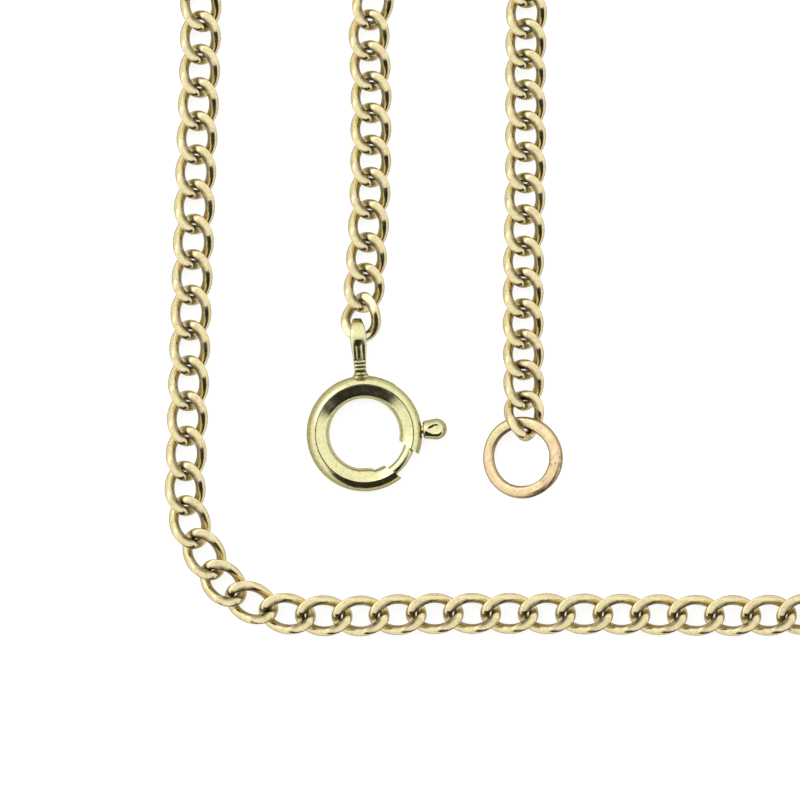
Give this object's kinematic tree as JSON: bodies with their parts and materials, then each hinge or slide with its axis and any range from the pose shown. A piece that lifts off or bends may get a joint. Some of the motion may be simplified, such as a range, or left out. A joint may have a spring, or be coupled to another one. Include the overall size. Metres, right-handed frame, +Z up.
{
  "type": "watch chain",
  "caption": "Fine curb-link watch chain with a sprung bolt ring clasp at one end and a jump ring at the other, laid flat.",
  "frame": {"origin": "on the table, under the middle of the chain's box", "axes": "+Z up off the table, +Y along the long open runs, towards the loops; +X from the clasp's run to the jump ring's run"},
  "size_m": [0.0452, 0.0474, 0.0021],
  "materials": {
    "chain_gold": "polished gold, softly worn",
    "clasp_gold": "bright polished gold",
    "ring_gold": "rosy gold, softly worn",
    "spring_steel": "bright drawn wire"
  },
  "bodies": {
    "link_038": {"link_038": "chain_gold"},
    "link_037": {"link_037": "chain_gold"},
    "link_036": {"link_036": "chain_gold"},
    "link_035": {"link_035": "chain_gold"},
    "link_034": {"link_034": "chain_gold"},
    "link_033": {"link_033": "chain_gold"},
    "link_032": {"link_032": "chain_gold"},
    "link_031": {"link_031": "chain_gold"},
    "link_030": {"link_030": "chain_gold"},
    "link_029": {"link_029": "chain_gold"},
    "link_028": {"link_028": "chain_gold"},
    "link_027": {"link_027": "chain_gold"},
    "link_026": {"link_026": "chain_gold"},
    "link_025": {"link_025": "chain_gold"},
    "link_024": {"link_024": "chain_gold"},
    "link_023": {"link_023": "chain_gold"},
    "links_010_to_022": {"links_010_to_022": "chain_gold"},
    "link_009": {"link_009": "chain_gold"},
    "link_008": {"link_008": "chain_gold"},
    "link_007": {"link_007": "chain_gold"},
    "link_006": {"link_006": "chain_gold"},
    "link_005": {"link_005": "chain_gold"},
    "link_004": {"link_004": "chain_gold"},
    "link_003": {"link_003": "chain_gold"},
    "link_002": {"link_002": "chain_gold"},
    "link_001": {"link_001": "chain_gold"},
    "link_039": {"link_039": "chain_gold"},
    "link_040": {"link_040": "chain_gold"},
    "link_041": {"link_041": "chain_gold"},
    "link_042": {"link_042": "chain_gold"},
    "link_043": {"link_043": "chain_gold"},
    "link_044": {"link_044": "chain_gold"},
    "link_045": {"link_045": "chain_gold"},
    "link_046": {"link_046": "chain_gold"},
    "link_047": {"link_047": "chain_gold"},
    "link_048": {"link_048": "chain_gold"},
    "link_049": {"link_049": "chain_gold"},
    "link_050": {"link_050": "chain_gold"},
    "link_051": {"link_051": "chain_gold"},
    "link_052": {"link_052": "chain_gold"},
    "links_053_to_064": {"links_053_to_064": "chain_gold"},
    "links_065_to_077": {"links_065_to_077": "chain_gold"},
    "links_078_to_089": {"links_078_to_089": "chain_gold"},
    "link_090": {"link_090": "chain_gold"},
    "link_091": {"link_091": "chain_gold"},
    "link_092": {"link_092": "chain_gold"},
    "link_093": {"link_093": "chain_gold"},
    "link_094": {"link_094": "chain_gold"},
    "link_095": {"link_095": "chain_gold"},
    "link_096": {"link_096": "chain_gold"},
    "link_097": {"link_097": "chain_gold"},
    "link_098": {"link_098": "chain_gold"},
    "link_099": {"link_099": "chain_gold"},
    "link_100": {"link_100": "chain_gold"},
    "link_101": {"link_101": "chain_gold"},
    "clasp": {"clasp_body": "clasp_gold", "clasp_eye": "clasp_gold", "clasp_spring": "spring_steel"},
    "clasp_tongue": {"clasp_tongue": "clasp_gold"},
    "jump_ring": {"jump_ring": "ring_gold"}
  },
  "joints": [
    {"name": "link_037_hinge", "type": "hinge", "parent": "link_038", "child": "link_037", "pos_m": [-0.01967, -0.01967, 0.00071], "axis": [0.8511, 0.525, 0], "range_deg": [-35, 35]},
    {"name": "link_036_hinge", "type": "hinge", "parent": "link_037", "child": "link_036", "pos_m": [-0.02069, -0.01781, 0.00071], "axis": [0.9031, 0.4294, 0], "range_deg": [-35, 35]},
    {"name": "link_035_hinge", "type": "hinge", "parent": "link_036", "child": "link_035", "pos_m": [-0.02127, -0.01582, 0.00071], "axis": [-0.9927, -0.1207, 0], "range_deg": [-35, 35]},
    {"name": "link_034_hinge", "type": "hinge", "parent": "link_035", "child": "link_034", "pos_m": [-0.02134, -0.01374, 0.00071], "axis": [-0.9985, 0.0539, 0], "range_deg": [-35, 35]},
    {"name": "link_033_hinge", "type": "hinge", "parent": "link_034", "child": "link_033", "pos_m": [-0.02125, -0.01163, 0.00071], "axis": [0.9995, -0.033, 0], "range_deg": [-35, 35]},
    {"name": "link_032_hinge", "type": "hinge", "parent": "link_033", "child": "link_032", "pos_m": [-0.02118, -0.00951, 0.00071], "axis": [0.9995, -0.0327, 0], "range_deg": [-35, 35]},
    {"name": "link_031_hinge", "type": "hinge", "parent": "link_032", "child": "link_031", "pos_m": [-0.02111, -0.00738, 0.00071], "axis": [-0.9995, 0.0328, 0], "range_deg": [-35, 35]},
    {"name": "link_030_hinge", "type": "hinge", "parent": "link_031", "child": "link_030", "pos_m": [-0.02104, -0.00526, 0.00071], "axis": [-0.9994, 0.0332, 0], "range_deg": [-35, 35]},
    {"name": "link_029_hinge", "type": "hinge", "parent": "link_030", "child": "link_029", "pos_m": [-0.02097, -0.00313, 0.00071], "axis": [0.9994, -0.0338, 0], "range_deg": [-35, 35]},
    {"name": "link_028_hinge", "type": "hinge", "parent": "link_029", "child": "link_028", "pos_m": [-0.02089, -0.001, 0.00071], "axis": [0.9994, -0.0342, 0], "range_deg": [-35, 35]},
    {"name": "link_027_hinge", "type": "hinge", "parent": "link_028", "child": "link_027", "pos_m": [-0.02082, 0.00113, 0.00071], "axis": [-0.9994, 0.0344, 0], "range_deg": [-35, 35]},
    {"name": "link_026_hinge", "type": "hinge", "parent": "link_027", "child": "link_026", "pos_m": [-0.02075, 0.00324, 0.00071], "axis": [-0.9994, 0.0344, 0], "range_deg": [-35, 35]},
    {"name": "link_025_hinge", "type": "hinge", "parent": "link_026", "child": "link_025", "pos_m": [-0.02067, 0.00532, 0.00071], "axis": [0.9993, -0.0384, 0], "range_deg": [-35, 35]},
    {"name": "link_024_hinge", "type": "hinge", "parent": "link_025", "child": "link_024", "pos_m": [-0.02059, 0.00735, 0.00071], "axis": [0.9992, -0.041, 0], "range_deg": [-35, 35]},
    {"name": "link_023_hinge", "type": "hinge", "parent": "link_024", "child": "link_023", "pos_m": [-0.02051, 0.00937, 0.00071], "axis": [-0.9993, 0.0362, 0], "range_deg": [-35, 35]},
    {"name": "links_010_to_022_hinge", "type": "hinge", "parent": "link_023", "child": "links_010_to_022", "pos_m": [-0.02045, 0.01137, 0.00071], "axis": [-0.9997, 0.0239, 0], "range_deg": [-35, 35]},
    {"name": "link_009_hinge", "type": "hinge", "parent": "links_010_to_022", "child": "link_009", "pos_m": [-0.01025, 0.01158, 0.00071], "axis": [-0.9993, -0.0384, 0], "range_deg": [-35, 35]},
    {"name": "link_008_hinge", "type": "hinge", "parent": "link_009", "child": "link_008", "pos_m": [-0.01016, 0.00974, 0.00071], "axis": [-0.9992, -0.0405, 0], "range_deg": [-35, 35]},
    {"name": "link_007_hinge", "type": "hinge", "parent": "link_008", "child": "link_007", "pos_m": [-0.01015, 0.00784, 0.00071], "axis": [1, -0.0072, 0], "range_deg": [-35, 35]},
    {"name": "link_006_hinge", "type": "hinge", "parent": "link_007", "child": "link_006", "pos_m": [-0.01016, 0.00591, 0.00071], "axis": [1, -0.0049, 0], "range_deg": [-35, 35]},
    {"name": "link_005_hinge", "type": "hinge", "parent": "link_006", "child": "link_005", "pos_m": [-0.01018, 0.00397, 0.00071], "axis": [-0.9998, 0.0217, 0], "range_deg": [-35, 35]},
    {"name": "link_004_hinge", "type": "hinge", "parent": "link_005", "child": "link_004", "pos_m": [-0.01025, 0.00202, 0.00071], "axis": [-0.9989, 0.0466, 0], "range_deg": [-35, 35]},
    {"name": "link_003_hinge", "type": "hinge", "parent": "link_004", "child": "link_003", "pos_m": [-0.01036, 0.00005, 0.00071], "axis": [0.9981, -0.0617, 0], "range_deg": [-35, 35]},
    {"name": "link_002_hinge", "type": "hinge", "parent": "link_003", "child": "link_002", "pos_m": [-0.01049, -0.00181, 0.00071], "axis": [0, 0, -1], "range_deg": [-20, 20]},
    {"name": "link_001_hinge", "type": "hinge", "parent": "link_002", "child": "link_001", "pos_m": [-0.01065, -0.00357, 0.00071], "axis": [-0.996, 0.0892, 0], "range_deg": [-35, 35]},
    {"name": "link_039_hinge", "type": "hinge", "parent": "link_038", "child": "link_039", "pos_m": [-0.01827, -0.02115, 0.00071], "axis": [-0.561, -0.8278, 0], "range_deg": [-35, 35]},
    {"name": "link_040_hinge", "type": "hinge", "parent": "link_039", "child": "link_040", "pos_m": [-0.01631, -0.02207, 0.00071], "axis": [0.2933, 0.956, 0], "range_deg": [-35, 35]},
    {"name": "link_041_hinge", "type": "hinge", "parent": "link_040", "child": "link_041", "pos_m": [-0.01411, -0.02244, 0.00071], "axis": [0.0332, 0.9994, 0], "range_deg": [-35, 35]},
    {"name": "link_042_hinge", "type": "hinge", "parent": "link_041", "child": "link_042", "pos_m": [-0.0119, -0.02249, 0.00071], "axis": [-0.0027, -1, 0], "range_deg": [-35, 35]},
    {"name": "link_043_hinge", "type": "hinge", "parent": "link_042", "child": "link_043", "pos_m": [-0.00967, -0.02244, 0.00071], "axis": [0.0361, -0.9993, 0], "range_deg": [-35, 35]},
    {"name": "link_044_hinge", "type": "hinge", "parent": "link_043", "child": "link_044", "pos_m": [-0.00743, -0.02236, 0.00071], "axis": [-0.0303, 0.9995, 0], "range_deg": [-35, 35]},
    {"name": "link_045_hinge", "type": "hinge", "parent": "link_044", "child": "link_045", "pos_m": [-0.00519, -0.02233, 0.00071], "axis": [-0.0057, 1, 0], "range_deg": [-35, 35]},
    {"name": "link_046_hinge", "type": "hinge", "parent": "link_045", "child": "link_046", "pos_m": [-0.00294, -0.02232, 0.00071], "axis": [-0.002, -1, 0], "range_deg": [-35, 35]},
    {"name": "link_047_hinge", "type": "hinge", "parent": "link_046", "child": "link_047", "pos_m": [-0.00068, -0.02233, 0.00071], "axis": [-0.0067, -1, 0], "range_deg": [-35, 35]},
    {"name": "link_048_hinge", "type": "hinge", "parent": "link_047", "child": "link_048", "pos_m": [0.00157, -0.02235, 0.00071], "axis": [0.0084, 1, 0], "range_deg": [-35, 35]},
    {"name": "link_049_hinge", "type": "hinge", "parent": "link_048", "child": "link_049", "pos_m": [0.00382, -0.02237, 0.00071], "axis": [0.0071, 1, 0], "range_deg": [-35, 35]},
    {"name": "link_050_hinge", "type": "hinge", "parent": "link_049", "child": "link_050", "pos_m": [0.00606, -0.02238, 0.00071], "axis": [-0.0121, -0.9999, 0], "range_deg": [-35, 35]},
    {"name": "link_051_hinge", "type": "hinge", "parent": "link_050", "child": "link_051", "pos_m": [0.0083, -0.02242, 0.00071], "axis": [-0.0167, -0.9999, 0], "range_deg": [-35, 35]},
    {"name": "link_052_hinge", "type": "hinge", "parent": "link_051", "child": "link_052", "pos_m": [0.01054, -0.02245, 0.00071], "axis": [0.0096, 1, 0], "range_deg": [-35, 35]},
    {"name": "links_053_to_064_hinge", "type": "hinge", "parent": "link_052", "child": "links_053_to_064", "pos_m": [0.01273, -0.02245, 0.00071], "axis": [-0.0099, 1, 0], "range_deg": [-35, 35]},
    {"name": "links_065_to_077_hinge", "type": "hinge", "parent": "links_053_to_064", "child": "links_065_to_077", "pos_m": [0.02129, -0.00258, 0.00071], "axis": [-1, 0, 0], "range_deg": [-35, 35]},
    {"name": "links_078_to_089_hinge", "type": "hinge", "parent": "links_065_to_077", "child": "links_078_to_089", "pos_m": [0.01561, 0.02232, 0.00071], "axis": [0.1017, 0.9948, 0], "range_deg": [-35, 35]},
    {"name": "link_090_hinge", "type": "hinge", "parent": "links_078_to_089", "child": "link_090", "pos_m": [-0.00083, 0.01109, 0.00071], "axis": [-1, 0.0094, 0], "range_deg": [-35, 35]},
    {"name": "link_091_hinge", "type": "hinge", "parent": "link_090", "child": "link_091", "pos_m": [-0.00084, 0.00924, 0.00071], "axis": [-1, -0.0011, 0], "range_deg": [-35, 35]},
    {"name": "link_092_hinge", "type": "hinge", "parent": "link_091", "child": "link_092", "pos_m": [-0.00084, 0.00737, 0.00071], "axis": [1, 0.0029, 0], "range_deg": [-35, 35]},
    {"name": "link_093_hinge", "type": "hinge", "parent": "link_092", "child": "link_093", "pos_m": [-0.00084, 0.00549, 0.00071], "axis": [1, -0.004, 0], "range_deg": [-35, 35]},
    {"name": "link_094_hinge", "type": "hinge", "parent": "link_093", "child": "link_094", "pos_m": [-0.00086, 0.00361, 0.00071], "axis": [-0.9999, 0.0169, 0], "range_deg": [-35, 35]},
    {"name": "link_095_hinge", "type": "hinge", "parent": "link_094", "child": "link_095", "pos_m": [-0.00089, 0.00172, 0.00071], "axis": [-0.9997, 0.0233, 0], "range_deg": [-35, 35]},
    {"name": "link_096_hinge", "type": "hinge", "parent": "link_095", "child": "link_096", "pos_m": [-0.00094, -0.00018, 0.00071], "axis": [0.9998, -0.022, 0], "range_deg": [-35, 35]},
    {"name": "link_097_hinge", "type": "hinge", "parent": "link_096", "child": "link_097", "pos_m": [-0.00097, -0.00208, 0.00071], "axis": [0.9999, -0.0129, 0], "range_deg": [-35, 35]},
    {"name": "link_098_hinge", "type": "hinge", "parent": "link_097", "child": "link_098", "pos_m": [-0.00098, -0.00395, 0.00071], "axis": [-1, -0.0007, 0], "range_deg": [-35, 35]},
    {"name": "link_099_hinge", "type": "hinge", "parent": "link_098", "child": "link_099", "pos_m": [-0.00097, -0.0058, 0.00071], "axis": [-1, -0.0092, 0], "range_deg": [-35, 35]},
    {"name": "link_100_hinge", "type": "hinge", "parent": "link_099", "child": "link_100", "pos_m": [-0.00095, -0.00764, 0.00071], "axis": [0, 0, 1], "range_deg": [-20, 20]},
    {"name": "link_101_hinge", "type": "hinge", "parent": "link_100", "child": "link_101", "pos_m": [-0.00093, -0.00948, 0.00071], "axis": [0.9999, 0.0109, 0], "range_deg": [-20, 35]},
    {"name": "clasp_swing", "type": "hinge", "parent": "link_001", "child": "clasp", "pos_m": [-0.01083, -0.00568, 0.00116], "axis": [-0.9979, -0.0645, 0], "range_deg": [-60, 60]},
    {"name": "clasp_tongue_slide", "type": "hinge", "parent": "clasp", "child": "clasp_tongue", "pos_m": [-0.01054, -0.01149, 0.00069], "axis": [0, 0, 1], "range_deg": [0, 48], "stiffness_Nm_per_rad": 0.002, "springref_deg": -20.05, "deforming": ["clasp_spring"]},
    {"name": "jump_ring_swing", "type": "hinge", "parent": "link_101", "child": "jump_ring", "pos_m": [-0.00104, -0.01086, 0.001], "axis": [0.9537, 0, 0.3007], "range_deg": [-60, 60]}
  ]
}
